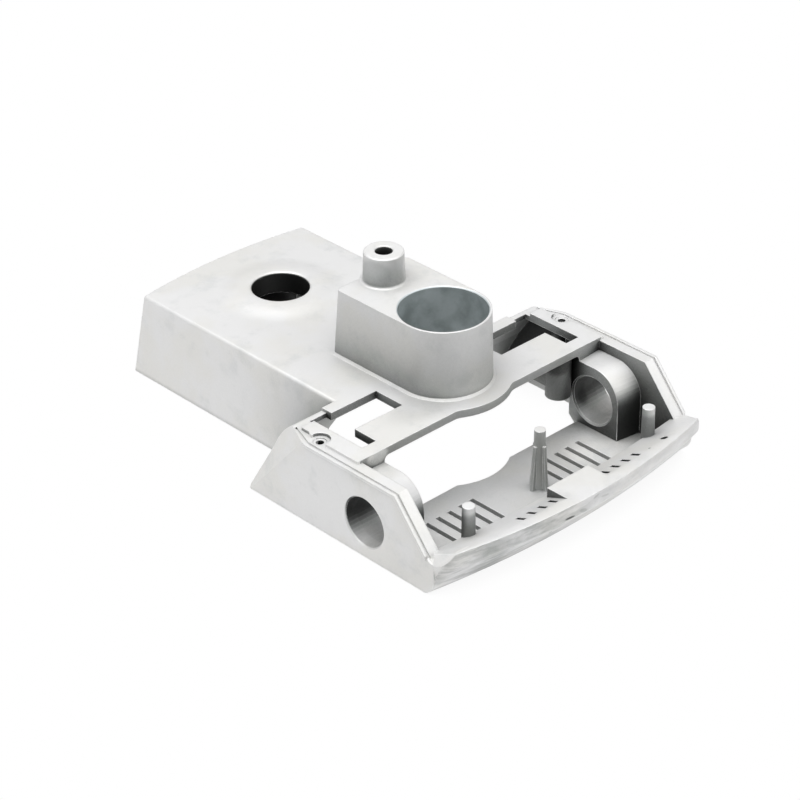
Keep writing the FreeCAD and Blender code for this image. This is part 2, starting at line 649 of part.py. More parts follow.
def make_window():
    """The right window with its notch and the slot that runs forward from it."""
    corners = [
        ("window_inner", "-window_front"),
        ("slot_inner", "-window_front"),
        ("slot_inner", "-slot_front"),
        ("window_outer", "-slot_front"),
        ("window_outer", "window_notch_rear"),
        ("band_half_width", "window_notch_rear"),
        ("band_half_width", "window_rear"),
        ("window_inner", "window_rear"),
    ]
    plan = outline("window_outline", "XY_Plane", corners, place=("0", "0", f"deck_top + {MARGIN}"))
    return [pocket("window", plan, f"deck_wall + 2 * {MARGIN}")]


def bevel_corners(outside, front, inner, rear):
    """Plan outline of what the bevel takes away at one height, run out past both its ends."""
    return [
        (f"{outside} + ({outside} - {inner})", f"{front} - ({rear} - {front})"),
        (f"{outside} + ({outside} - {inner})", f"{rear} + ({rear} - {front})"),
        (f"{inner} - ({outside} - {inner})", f"{rear} + ({rear} - {front})"),
    ]


def make_cheek_details():
    """On the right cheek: the outstanding rim, its groove and the bevelled rear corner."""
    rim = "deck_top - land_drop"
    band = [
        ("bevel_front", rim),
        ("-cheek_slope_top", rim),
        ("-cheek_nose", "cheek_nose_height"),
        ("-cheek_nose + rim_height", "cheek_nose_height"),
        ("-cheek_slope_top + rim_height / 2", f"{rim} - rim_height"),
        ("bevel_front", f"{rim} - rim_height"),
    ]
    outstand = pad("rim", outline("rim_outline", "YZ_Plane", band,
                                  place=("0", "0", f"cheek_outer - {OVERLAP}")),
                   f"rim_step + {OVERLAP}")
    outside = "cheek_outer + rim_step"
    top_bevel = bevel_corners(outside, "bevel_front", "bevel_inner", "bevel_top_rear")
    foot_bevel = bevel_corners(outside, "bevel_foot_front", "bevel_foot_inner", "cheek_rear")
    bevel = loft("Subtractive", "rear_bevel",
                 outline("bevel_foot_outline", "XY_Plane", foot_bevel),
                 outline("bevel_top_outline", "XY_Plane", top_bevel, place=("0", "0", rim)))
    run = [
        ("groove_rear", f"{rim} + {MARGIN}"),
        ("-cheek_slope_top", f"{rim} + {MARGIN}"),
        (f"-cheek_nose - {MARGIN}", "cheek_nose_height"),
        ("-cheek_nose + groove_depth", "cheek_nose_height"),
        ("-cheek_slope_top + groove_depth / 2", f"{rim} - groove_depth"),
        ("groove_rear", f"{rim} - groove_depth"),
    ]
    groove = pocket("rim_groove", outline("groove_outline", "YZ_Plane", run,
                                          place=("0", "0", "groove_place + groove_width / 2")),
                    "groove_width")
    turn_in = [
        ("groove_place - groove_width / 2", "groove_rear"),
        ("groove_place + groove_width / 2", "groove_rear"),
        ("groove_tail_place + groove_width / 2", "groove_tail_rear"),
        ("groove_tail_place - groove_width / 2", "groove_tail_rear"),
    ]
    tail_place = ("0", "0", f"{rim} + {MARGIN}")
    tail = pocket("groove_tail", outline("tail_outline", "XY_Plane", turn_in, place=tail_place),
                  f"groove_depth + {MARGIN}")
    tip = [
        ("lip_bevel", f"lip_top + {MARGIN}"),
        ("lip_bevel", "lip_top"),
        ("cheek_outer", "cheek_tip_height"),
        (f"cheek_outer + {MARGIN}", "cheek_tip_height"),
        (f"cheek_outer + {MARGIN}", f"lip_top + {MARGIN}"),
    ]
    fall = pocket("lip_end", outline("lip_end_outline", "XZ_Plane", tip,
                                     place=("0", "0", "lip_front")),
                  "lip_front - cheek_nose + rim_height")
    under = [
        ("cheek_outer", "cheek_edge", "cheek_edge", 1),
        ("cheek_outer - cheek_edge", "0"),
        ("cheek_outer - cheek_edge", f"-{MARGIN}"),
        (f"cheek_outer + {MARGIN}", f"-{MARGIN}"),
        (f"cheek_outer + {MARGIN}", "cheek_edge"),
    ]
    lower_edge = pocket("cheek_lower_edge", outline("lower_edge_outline", "XZ_Plane", under),
                        "2 * lip_front", Midplane=True)
    return [outstand, bevel, groove, tail, fall, lower_edge]


def lug_corners(top, front):
    """Side outline of the lug at one distance from the middle plane."""
    under = "deck_top - deck_wall"
    return [
        ("-lug_rear - lug_cut", "floor_wall / 2"),
        ("-lug_rear", "floor_wall / 2 + lug_cut"),
        ("-lug_rear", f"{under} + {OVERLAP}"),
        ("-bar_front", f"{under} + {OVERLAP}"),
        ("-bar_front", top),
        (f"-{front} + lug_round", top, "lug_round", -1),
        (f"-{front}", f"{top} - lug_round"),
        (f"-{front}", "floor_wall / 2"),
    ]


def make_lug():
    """The right lug inside the cheek and the cross bore through both."""
    face = outline("lug_face_outline", "YZ_Plane", lug_corners("lug_top", "lug_front"),
                   place=("0", "0", "lug_face"))
    root = outline("lug_root_outline", "YZ_Plane", lug_corners("lug_root_top", "lug_root_front"),
                   place=("0", "0", f"cheek_inner + {OVERLAP}"))
    lug = loft("Additive", "lug", face, root)
    under = "deck_top - deck_wall"
    hollow = [
        (f"lug_face + {OVERLAP}", f"{under} + {OVERLAP}"),
        ("lug_face - lug_blend", f"{under} + {OVERLAP}"),
        ("lug_face - lug_blend", under, "lug_blend", 1),
        ("lug_face", f"{under} - lug_blend"),
        (f"lug_face + {OVERLAP}", f"{under} - lug_blend"),
    ]
    blend = pad("lug_blend", outline("lug_blend_outline", "XZ_Plane", hollow,
                                     place=("0", "0", "lug_rear")), "bar_front - lug_rear")
    edge = "cross_bore_edge"
    bore = turn("Groove", "cross_bore", outline("cross_bore_outline", "XZ_Plane", [
        (f"lug_face - {MARGIN}", "0"),
        (f"lug_face - {MARGIN}", f"cross_bore_radius + {edge} + {MARGIN}"),
        (f"lug_face + {edge}", "cross_bore_radius"),
        (f"cheek_outer - {edge}", "cross_bore_radius"),
        (f"cheek_outer + {MARGIN}", f"cross_bore_radius + {edge} + {MARGIN}"),
        (f"cheek_outer + {MARGIN}", "0"),
    ], place=("0", "cross_bore_height", "cross_bore_front")), axis="H_Axis")
    return [lug, blend, bore]


def make_hanger():
    """The round hanger under the crossbar, on the right alone, with the web behind it."""
    root = f"deck_top - deck_wall + {OVERLAP}"
    root_place = ("0", "0", root)
    ring = circle("hanger_circle", "XY_Plane", ("hanger_place", "-hanger_front"), "hanger_radius",
                  place=root_place)
    pad("hanger", ring, f"{root} - hanger_foot", Reversed=True)
    plan = [
        ("web_place - web_wall / 2", "-hanger_front + web_wall"),
        ("web_place + web_wall / 2", "-hanger_front + web_wall"),
        ("web_place + web_wall / 2", "-web_rear"),
        ("web_place - web_wall / 2", "-web_rear"),
    ]
    pad("web", outline("web_outline", "XY_Plane", plan, place=root_place),
        f"{root} - web_foot", Reversed=True)


def make_screw_place():
    """The right screw hole with its boss, the relief in the deck and the spot face."""
    centre = ("screw_place", "-screw_front")
    rim = "deck_top - land_drop"
    ring = circle("screw_boss_circle", "XY_Plane", centre, "screw_boss_radius",
                  place=("0", "0", f"deck_top - deck_wall + {OVERLAP}"))
    boss = pad("screw_boss", ring, f"screw_boss_length + {OVERLAP}", Reversed=True)
    above = ("0", "0", f"deck_top + {MARGIN}")
    relief = pocket("screw_relief", circle("relief_circle", "XY_Plane", centre, "screw_relief_radius",
                                           place=above), f"land_drop + {MARGIN}")
    spot = pocket("screw_spot", circle("spot_circle", "XY_Plane", centre, "screw_spot_radius",
                                       place=above), f"land_drop + screw_spot_depth + {MARGIN}")
    hole = pocket("screw_hole", circle("screw_circle", "XY_Plane", centre, "screw_hole_radius",
                                       place=above), f"land_drop + screw_depth + {MARGIN}")
    return [boss, relief, spot, hole]


def make_post():
    """The right plain post, drafted, standing at the rear edge of the ledge."""
    profile = [
        ("0", f"floor_wall - {OVERLAP}"),
        ("post_foot_radius", f"floor_wall - {OVERLAP}"),
        ("post_radius", "post_top"),
        ("0", "post_top"),
    ]
    place = ("post_place", "0", "post_front")
    return [turn("Revolution", "post", outline("post_outline", "XZ_Plane", profile, place=place))]


def make_pillar():
    """The ribbed pillar on the floor, to the right of the middle plane."""
    profile = [
        ("0", f"floor_wall - {OVERLAP}"),
        ("pillar_foot_radius", f"floor_wall - {OVERLAP}"),
        ("pillar_radius", "post_top"),
        ("0", "post_top"),
    ]
    place = ("pillar_place", "0", "pillar_front")
    turn("Revolution", "pillar", outline("pillar_outline", "XZ_Plane", profile, place=place))
    rib = [
        ("-pillar_rib_foot_reach", f"floor_wall - {OVERLAP}"),
        ("pillar_rib_foot_reach", f"floor_wall - {OVERLAP}"),
        ("pillar_rib_reach", "pillar_rib_top"),
        ("-pillar_rib_reach", "pillar_rib_top"),
    ]
    pad("pillar_side_ribs", outline("side_rib_outline", "XZ_Plane", rib, place=place),
        "pillar_rib_wall", Midplane=True)
    along = [(f"{across} - pillar_front", up) for across, up in rib]
    pad("pillar_long_ribs", outline("long_rib_outline", "YZ_Plane", along,
                                    place=("0", "0", "pillar_place")),
        "pillar_rib_wall", Midplane=True)


def make_land_pad():
    """The flat pad in the middle of the ledge."""
    corners = [
        ("-land_pad_half_width", "-land_pad_rear"),
        ("land_pad_half_width", "-land_pad_rear"),
        ("land_pad_half_width", f"-lip_crease - {OVERLAP}"),
        ("-land_pad_half_width", f"-lip_crease - {OVERLAP}"),
    ]
    pad("land_pad", outline("pad_outline", "XY_Plane", corners, place=("0", "0", "land_pad_root")),
        "lip_top - land_pad_root")


def make_lip_core():
    """The core that hollows the lip from below, up to a roof that follows the ledge."""
    half_width = "(cheek_inner - lip_wall)"

    def corners(front, radius, rear, stretch):
        front_side = bow(front, radius, half_width)
        rear_side = bow(rear, "ledge_bow", half_width)
        return [
            (f"-{half_width}", f"-({front_side}) / {stretch}", radius, -1),
            (half_width, f"-({front_side}) / {stretch}"),
            (half_width, f"-({rear_side}) / {stretch}", "ledge_bow", 1),
            (f"-{half_width}", f"-({rear_side}) / {stretch}"),
        ]

    foot = corners("lip_foot_front - lip_wall", "lip_foot_bow", "lip_inner_foot + lip_wall", "1")
    roof = corners("lip_front - lip_wall", "lip_bow", "ledge_rear + lip_wall", "cos(ledge_angle)")
    roof_height = "lip_top - lip_crease * tan(ledge_angle) - lip_wall"
    loft("Subtractive", "lip_core", outline("lip_core_foot", "XY_Plane", foot),
         outline("lip_core_roof", "XY_Plane", roof, place=("0", "0", roof_height),
                 tilt="-ledge_angle"))


def slots(name, first, pitch, width, front, rear, count, place):
    """A sketch with a row of straight slots on each side of the middle plane."""
    sketch = new_sketch(name, "XY_Plane", place=place)
    for side in BOTH_SIDES:
        for number in range(count):
            centre = f"{side} * ({first} + {number} * {pitch})"
            add_outline(sketch, [
                (f"{centre} - {width} / 2", f"-{front}"),
                (f"{centre} + {width} / 2", f"-{front}"),
                (f"{centre} + {width} / 2", f"-{rear}"),
                (f"{centre} - {width} / 2", f"-{rear}"),
            ])
    return sketch


def make_slots():
    """The vents in the floor, the slots in the ledge and the small hole beside them."""
    vents = slots("vent_outlines", "vent_first", "vent_pitch", "vent_width", "vent_front",
                  "vent_rear", VENTS_PER_SIDE, ("0", "0", f"floor_wall + {MARGIN}"))
    pocket("vents", vents, f"floor_wall + 2 * {MARGIN}")
    above = ("0", "0", f"lip_top + {MARGIN}")
    louvres = slots("louvre_outlines", "louvre_first", "louvre_pitch", "louvre_width",
                    "louvre_front", "louvre_rear", LOUVRES_PER_SIDE, above)
    through = f"lip_top - lip_band_foot + lip_wall + 2 * {MARGIN}"
    pocket("louvres", louvres, through)
    hole = circle("lip_hole_circle", "XY_Plane", ("lip_hole_place", "-lip_hole_front"),
                  "lip_hole_radius", place=above)
    pocket("lip_hole", hole, through)


def make_all():
    """The whole casting, from the hood to the slots."""
    make_hood()
    make_floor()
    make_lip()
    make_cheeks()
    make_deck()
    make_neck()
    make_tower()
    make_hanger()
    right_side = (make_cheek_details() + make_lug() + make_window() + make_screw_place()
                  + make_post())
    mirror("both_sides", right_side)
    make_land_pad()
    make_pillar()
    make_lip_core()
    make_slots()


make_sheet()
housing = document.addObject("PartDesign::Body", "housing")
housing.Label = "housing"
make_all()
housing.setExpression("Placement.Base.y", cells("(lip_front - hood_foot_length) / 2"))
document.recompute()
for item in document.Objects:
    if "Invalid" in item.State or "Error" in item.State:
        raise RuntimeError(f"{item.Name} failed: {item.getStatusString()}")
shape = housing.Shape
if shape.isNull() or not shape.isValid():
    raise RuntimeError("the casting is not a valid solid")
os.makedirs("parts", exist_ok=True)
shape.exportStep("parts/housing.step")
print("solids", len(shape.Solids), "volume", round(shape.Volume), shape.BoundBox)
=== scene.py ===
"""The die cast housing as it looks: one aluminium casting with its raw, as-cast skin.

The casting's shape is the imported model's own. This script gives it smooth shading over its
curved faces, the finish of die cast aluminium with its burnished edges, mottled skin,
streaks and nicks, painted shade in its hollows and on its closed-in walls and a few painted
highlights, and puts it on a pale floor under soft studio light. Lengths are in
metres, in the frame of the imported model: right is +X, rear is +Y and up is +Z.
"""
import logging
import math
from dataclasses import dataclass, field
from enum import Enum
from typing import Optional, Sequence

import bpy
from mathutils import Matrix, Vector

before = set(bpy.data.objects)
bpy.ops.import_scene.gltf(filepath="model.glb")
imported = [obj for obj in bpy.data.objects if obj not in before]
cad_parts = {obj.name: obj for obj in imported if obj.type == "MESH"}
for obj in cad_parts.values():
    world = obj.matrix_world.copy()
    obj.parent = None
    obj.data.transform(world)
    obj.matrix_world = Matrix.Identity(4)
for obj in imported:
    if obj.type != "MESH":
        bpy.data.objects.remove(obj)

LOG = logging.getLogger("housing")
MM = 0.001
EDGE_RADIUS = 0.7 * MM

Point = tuple[float, float, float]
Colour = tuple[float, float, float, float]
Stops = tuple[tuple[float, float], ...]
Socket = bpy.types.NodeSocket


def grey(level: float) -> Colour:
    """A neutral grey of a linear brightness from 0 to 1, with full alpha."""
    return (level, level, level, 1.0)


def mm(x: float, y: float, z: float) -> Point:
    """A place, or a length along each axis, given in millimetres."""
    return (x * MM, y * MM, z * MM)


class Blend(Enum):
    """How one colour is laid over another in a Mix node."""

    OVER = "MIX"
    DARKEN = "MULTIPLY"


class Axis(Enum):
    """The axis along which a hole runs."""

    ACROSS = 0
    UPRIGHT = 2


@dataclass(frozen=True)
class Step:
    """A smooth step: where it begins and ends, and the result before and after it."""

    low: float
    high: float
    before: float = 0.0
    after: float = 1.0


@dataclass(frozen=True)
class Grain:
    """Fractal noise: grains in a metre, finer layers, their strength and the grains' length."""

    scale: float
    detail: float = 4.0
    roughness: float = 0.55
    stretch: Point = (1, 1, 1)


class Graph:
    """A material's node tree, with short calls for the nodes that the finishes use."""

    def __init__(self, name: str) -> None:
        """Start an empty tree.

        Args:
            name: the material's name.
        """
        self.material = bpy.data.materials.new(name)
        self.material.use_nodes = True
        self.tree = self.material.node_tree
        self.tree.nodes.clear()

    def node(self, kind: str, **settings: object) -> bpy.types.Node:
        """Add a node.

        Args:
            kind: the node's type without the ShaderNode prefix.
            settings: properties of the node by name.

        Returns:
            The new node.
        """
        made = self.tree.nodes.new("ShaderNode" + kind)
        for name, value in settings.items():
            setattr(made, name, value)
        return made

    def join(self, source: Socket, target: Socket) -> None:
        """Link one socket to another."""
        self.tree.links.new(source, target)

    def feed(self, socket: Socket, value: object) -> None:
        """Link a socket's source, or set its value.

        Args:
            socket: the input socket.
            value: an output socket, or a number, vector or colour.
        """
        if isinstance(value, Socket):
            self.join(value, socket)
        else:
            socket.default_value = value

    def maths(self, operation: str, *inputs: object, clamp: bool = False) -> Socket:
        """A Math node.

        Args:
            operation: the operation's name, such as MULTIPLY.
            inputs: its inputs, sockets or numbers.
            clamp: whether the result is held between 0 and 1.

        Returns:
            The result.
        """
        made = self.node("Math", operation=operation, use_clamp=clamp)
        for socket, value in zip(made.inputs, inputs):
            self.feed(socket, value)
        return made.outputs[0]

    def product(self, first: object, *others: object) -> Socket:
        """All the values multiplied together."""
        for other in others:
            first = self.maths("MULTIPLY", first, other)
        return first

    def greatest(self, first: object, *others: object) -> Socket:
        """The greatest of the values."""
        for other in others:
            first = self.maths("MAXIMUM", first, other)
        return first

    def rest(self, share: Socket) -> Socket:
        """What a share leaves of one."""
        return self.maths("SUBTRACT", 1.0, share)

    def ramp(self, value: Socket, step: Step) -> Socket:
        """A smooth step over a value.

        Args:
            value: what is measured.
            step: the step's place and its results.

        Returns:
            The result.
        """
        made = self.node("MapRange", interpolation_type="SMOOTHSTEP")
        self.feed(made.inputs["Value"], value)
        made.inputs["From Min"].default_value = step.low
        made.inputs["From Max"].default_value = step.high
        made.inputs["To Min"].default_value = step.before
        made.inputs["To Max"].default_value = step.after
        return made.outputs["Result"]

    def band(self, value: Socket, low: float, high: float, soft: float) -> Socket:
        """One between two limits and zero beyond them.

        Args:
            value: what is measured.
            low: the lower limit.
            high: the upper limit.
            soft: the length over which each end fades, inside the limits.

        Returns:
            The result.
        """
        return self.product(self.ramp(value, Step(low, low + soft)),
                            self.ramp(value, Step(high - soft, high, 1.0, 0.0)))

    def curve(self, value: Socket, stops: Sequence[tuple[float, float]]) -> Socket:
        """A curve through given stops.

        Args:
            value: what is measured, from 0 to 1.
            stops: pairs of a value and the result there, in rising order.

        Returns:
            The result.
        """
        made = self.node("ValToRGB")
        self.feed(made.inputs["Fac"], value)
        points = made.color_ramp.elements
        while len(points) < len(stops):
            points.new(1.0)
        for point, (where, result) in zip(points, stops):
            point.position = where
            point.color = grey(result)
        return made.outputs["Color"]

    def parts(self, vector: Socket) -> bpy.types.bpy_prop_collection:
        """The X, Y and Z of a vector as sockets."""
        made = self.node("SeparateXYZ")
        self.join(vector, made.inputs[0])
        return made.outputs

    def where(self) -> bpy.types.bpy_prop_collection:
        """The X, Y and Z of the place on the object, in metres."""
        return self.parts(self.node("TexCoord").outputs["Object"])

    def normal(self) -> Socket:
        """The direction that a face looks in, without its smoothing."""
        return self.node("NewGeometry").outputs["True Normal"]

    def along(self, direction: object, other: object) -> Socket:
        """How far two directions agree.

        Args:
            direction: the first one, a socket or three numbers.
            other: the second one, a socket or three numbers.

        Returns:
            One where they are the same and zero where they cross at a right angle.
        """
        made = self.node("VectorMath", operation="DOT_PRODUCT")
        self.feed(made.inputs[0], direction)
        self.feed(made.inputs[1], other)
        return made.outputs["Value"]

    def length(self, vector: Socket) -> Socket:
        """The length of a vector."""
        made = self.node("VectorMath", operation="LENGTH")
        self.join(vector, made.inputs[0])
        return made.outputs["Value"]

    def place(self, centre: Point = (0, 0, 0), turn: Point = (0, 0, 0), size: Point = (1, 1, 1)) -> Socket:
        """Object coordinates about a centre, turned and measured in a size.

        Args:
            centre: the centre in metres.
            turn: the turn about X, Y and Z in degrees.
            size: the length along each turned axis that counts as one.

        Returns:
            The coordinates.
        """
        source = self.node("TexCoord").outputs["Object"]
        made = self.node("Mapping", vector_type="TEXTURE")
        self.join(source, made.inputs["Vector"])
        made.inputs["Location"].default_value = centre
        made.inputs["Rotation"].default_value = [math.radians(angle) for angle in turn]
        made.inputs["Scale"].default_value = size
        return made.outputs["Vector"]

    def noise(self, grain: Grain) -> Socket:
        """Fractal noise.

        Args:
            grain: its scale and layers.

        Returns:
            The noise, about 0.5 on average.
        """
        made = self.node("TexNoise")
        self.join(self.place(size=grain.stretch), made.inputs["Vector"])
        made.inputs["Scale"].default_value = grain.scale
        made.inputs["Detail"].default_value = grain.detail
        made.inputs["Roughness"].default_value = grain.roughness
        return made.outputs["Fac"]

    def spot(self, centre: Point, radii: Point, turn: Point = (0, 0, 0), edge: float = 0.5) -> Socket:
        """An egg-shaped region with a soft edge.

        Args:
            centre: its centre in metres.
            radii: its half lengths along the turned axes, in metres.
            turn: the turn in degrees.
            edge: where its edge starts to fade, from 0 at the centre to 1 at the rim.

        Returns:
            One inside and zero outside.
        """
        return self.ramp(self.length(self.place(centre, turn, radii)), Step(edge, 1.0, 1.0, 0.0))

    def open_share(self, distance: float, samples: int = 8, alone: bool = True) -> Socket:
        """How open a point is to its surroundings.

        Args:
            distance: how far away a surface still counts, in metres.
            samples: how many directions are tried.
            alone: whether only the object itself counts.

        Returns:
            One where nothing is near and zero in a closed corner.
        """
        made = self.node("AmbientOcclusion", samples=samples, only_local=alone)
        made.inputs["Distance"].default_value = distance
        return made.outputs["AO"]

    def rounded(self, radius: float, samples: int = 6) -> Socket:
        """The normal of a surface whose edges are softly rounded.

        Args:
            radius: the radius of the rounding in metres.
            samples: how many places are read about a point.

        Returns:
            The normal.
        """
        made = self.node("Bevel", samples=samples)
        made.inputs["Radius"].default_value = radius
        return made.outputs["Normal"]

    def mix(self, how: Blend, share: object, under: object, over: object) -> Socket:
        """Lay one colour over another.

        Args:
            how: the way in which they are mixed.
            share: how much of the upper one shows.
            under: the lower colour.
            over: the upper colour.

        Returns:
            The mixed colour.
        """
        made = self.node("Mix", data_type="RGBA", blend_type=how.value)
        self.feed(made.inputs["Factor"], share)
        self.feed(made.inputs["A"], under)
        self.feed(made.inputs["B"], over)
        return next(socket for socket in made.outputs if socket.type == "RGBA")


@dataclass(frozen=True)
class Hole:
    """A round hole whose inside gets a colour of its own: its own skin, or painted shade and light."""

    centre: Point
    radius: float
    axis: Axis = Axis.UPRIGHT
    fade: float = 0.4 * MM
    endless: float = 1000.0

    def inside(self, graph: Graph) -> Socket:
        """Find the hole's wall.

        Args:
            graph: the material's node tree.

        Returns:
            One in the hole and zero outside.
        """
        size = tuple(self.endless if part == self.axis.value else 1.0 for part in range(3))
        away = graph.length(graph.place(self.centre, size=size))
        return graph.ramp(away, Step(self.radius, self.radius + self.fade, 1.0, 0.0))


@dataclass(frozen=True)
class Mark:
    """A small region in which the colour is darker or paler than round it: a mark on the skin, or painted
    shade or painted light.
    """

    centre: Point
    radii: Point
    tone: float
    turn: float = 0.0
    edge: float = 0.5
    walls_only: bool = False
    facing: Optional[Point] = None
    agreement: Step = Step(0.4, 0.7)

    def share(self, graph: Graph, steep: Socket) -> Socket:
        """The mark's tone inside it and one outside.

        Args:
            graph: the material's node tree.
            steep: how steep the face stands.

        Returns:
            The share of the colour that is left.
        """
        inside = graph.spot(self.centre, self.radii, (0, self.turn, 0), self.edge)
        if self.walls_only:
            inside = graph.product(inside, steep)
        if self.facing:
            inside = graph.product(inside, graph.ramp(graph.along(graph.normal(), self.facing),
                                                      self.agreement))
        return graph.ramp(inside, Step(0.0, 1.0, 1.0, self.tone))


@dataclass(frozen=True)
class Column:
    """A post or pillar, whose wall keeps at least a given tone down to its foot, however deep the painted
    shade.
    """

    centre: Point
    least: float
    size: Point = mm(11, 11, 30)
    edge: float = 0.9

    def tone(self, graph: Graph) -> Socket:
        """Find the column.

        Args:
            graph: the material's node tree.

        Returns:
            The least tone at the column and zero away from it.
        """
        return graph.product(graph.spot(self.centre, self.size, edge=self.edge), self.least)


LARGE_BORE = Hole(mm(0.0, -35.3, 0.0), 20.8 * MM)
NECK = Hole(mm(0.0, 76.4, 0.0), 13.9 * MM)
CROSS_BORE = Hole(mm(0.0, -70.6, 18.9), 12.1 * MM, Axis.ACROSS)
POSTS = (mm(-57.2, -109.2, 16.0), mm(57.2, -109.2, 16.0))
PILLAR = mm(6.6, -87.0, 16.0)
POST_REACH = mm(5, 5, 20)
POST_WALL_SHADE = 0.62

MARKS_AND_PAINTED_LIGHT = (
    # Painted shade on the walls of the two plain posts.
    *(Mark(post, POST_REACH, POST_WALL_SHADE, edge=0.85, walls_only=True) for post in POSTS),
    # Painted shade in the right screw hole, painted shade on the left side of the small boss and painted
    # light on its right side.
    Mark(mm(76.5, -36.4, 41.0), mm(2.2, 2.2, 2.4), 0.1, edge=0.8, walls_only=True),
    Mark(mm(-9.0, 0.0, 84.0), mm(9, 12, 10), 0.78, walls_only=True),
    Mark(mm(9.0, -3.0, 84.0), mm(9, 10, 10), 1.3, edge=0.4, walls_only=True),
    # Painted light on the right of the vented floor, painted shade on the crossbar's top on the left and
    # painted light on its front above the left lug.
    Mark(mm(53.0, -84.0, 3.4), mm(26, 22, 4), 1.3, edge=0.3),
    Mark(mm(-24.0, -48.0, 43.5), mm(32, 16, 3), 0.86, edge=0.2),
    Mark(mm(-66.0, -62.0, 41.0), mm(8, 3, 5), 2.0, walls_only=True),
    # Painted shade in the right cross bore.
    Mark(mm(67.0, -60.0, 15.0), mm(5, 4, 8), 0.35, edge=0.2),
    # Painted shade on the right cheek's inner face, seen through the window, and in the gap on the walls
    # of the hanger's upper part.
    Mark(mm(75.0, -15.0, 20.0), mm(9, 34, 19), 0.18, edge=0.8, facing=(-1, 0, 0)),
    Mark(mm(53.0, -56.0, 35.0), mm(10, 9, 6), 0.4, edge=0.4, walls_only=True),
    # The slit, the nick and the flow marks on the lip's front.
    Mark(mm(-16.7, -130.5, 18.9), mm(3.8, 3.0, 0.7), 0.2, 3.0),
    Mark(mm(-22.3, -124.4, 11.1), mm(0.8, 1.5, 2.0), 0.45),
    Mark(mm(-8.5, -130.9, 19.2), mm(3.2, 2.0, 1.2), 0.8, 20.0),
    Mark(mm(-0.5, -131.0, 22.9), mm(2.6, 2.0, 0.8), 0.8, -15.0),
    Mark(mm(5.3, -130.9, 20.7), mm(3.4, 2.0, 0.7), 0.82, 10.0),
    # The nick, and a painted highlight as a bright streak on the ledge.
    Mark(mm(43.8, -122.0, 23.8), mm(0.8, 0.8, 0.8), 0.4),
    Mark(mm(-71.9, -120.3, 24.1), mm(5.0, 1.2, 1.5), 1.12),
)


@dataclass(frozen=True)
class WornEdges:
    """The proud edges, where handling has burnished the skin."""

    radius: float = EDGE_RADIUS
    bend: Step = Step(0.99, 0.86)
    proud: Step = Step(0.55, 0.8)
    patches: Grain = Grain(160.0)
    patchy: Step = Step(0.3, 0.6, 0.35, 1.0)

    def share(self, graph: Graph) -> Socket:
        """Find them.

        Args:
            graph: the material's node tree.

        Returns:
            One on a worn edge and zero elsewhere.
        """
        bent = graph.ramp(graph.along(graph.rounded(self.radius), graph.normal()), self.bend)
        proud = graph.ramp(graph.open_share(2 * self.radius), self.proud)
        return graph.product(bent, proud, graph.ramp(graph.noise(self.patches), self.patchy))


@dataclass(frozen=True)
class LipStreaks:
    """The grey streaks along the front of the lip, strongest on the left."""

    front: Step = Step(-113.5 * MM, -112.5 * MM, 1.0, 0.0)
    facing: Step = Step(-0.6, -0.4, 1.0, 0.0)
    left: Step = Step(-25 * MM, 10 * MM, 1.0, 0.35)
    fine: Grain = Grain(300.0, 6.0, 0.65, (5, 5, 1))
    fine_tone: Step = Step(0.4, 0.65, 1.0, 0.72)
    broad: Grain = Grain(75.0, stretch=(2, 2, 1))
    broad_tone: Step = Step(0.4, 0.6, 0.9, 0.66)

    def share(self, graph: Graph) -> Socket:
        """Find how much of the colour they leave.

        Args:
            graph: the material's node tree.

        Returns:
            The share of the colour that is left.
        """
        place = graph.where()
        region = graph.product(graph.ramp(place["Y"], self.front),
                               graph.ramp(graph.parts(graph.normal())["Y"], self.facing),
                               graph.ramp(place["X"], self.left))
        streaks = graph.product(graph.ramp(graph.noise(self.fine), self.fine_tone),
                                graph.ramp(graph.noise(self.broad), self.broad_tone))
        return graph.rest(graph.product(region, graph.rest(streaks)))


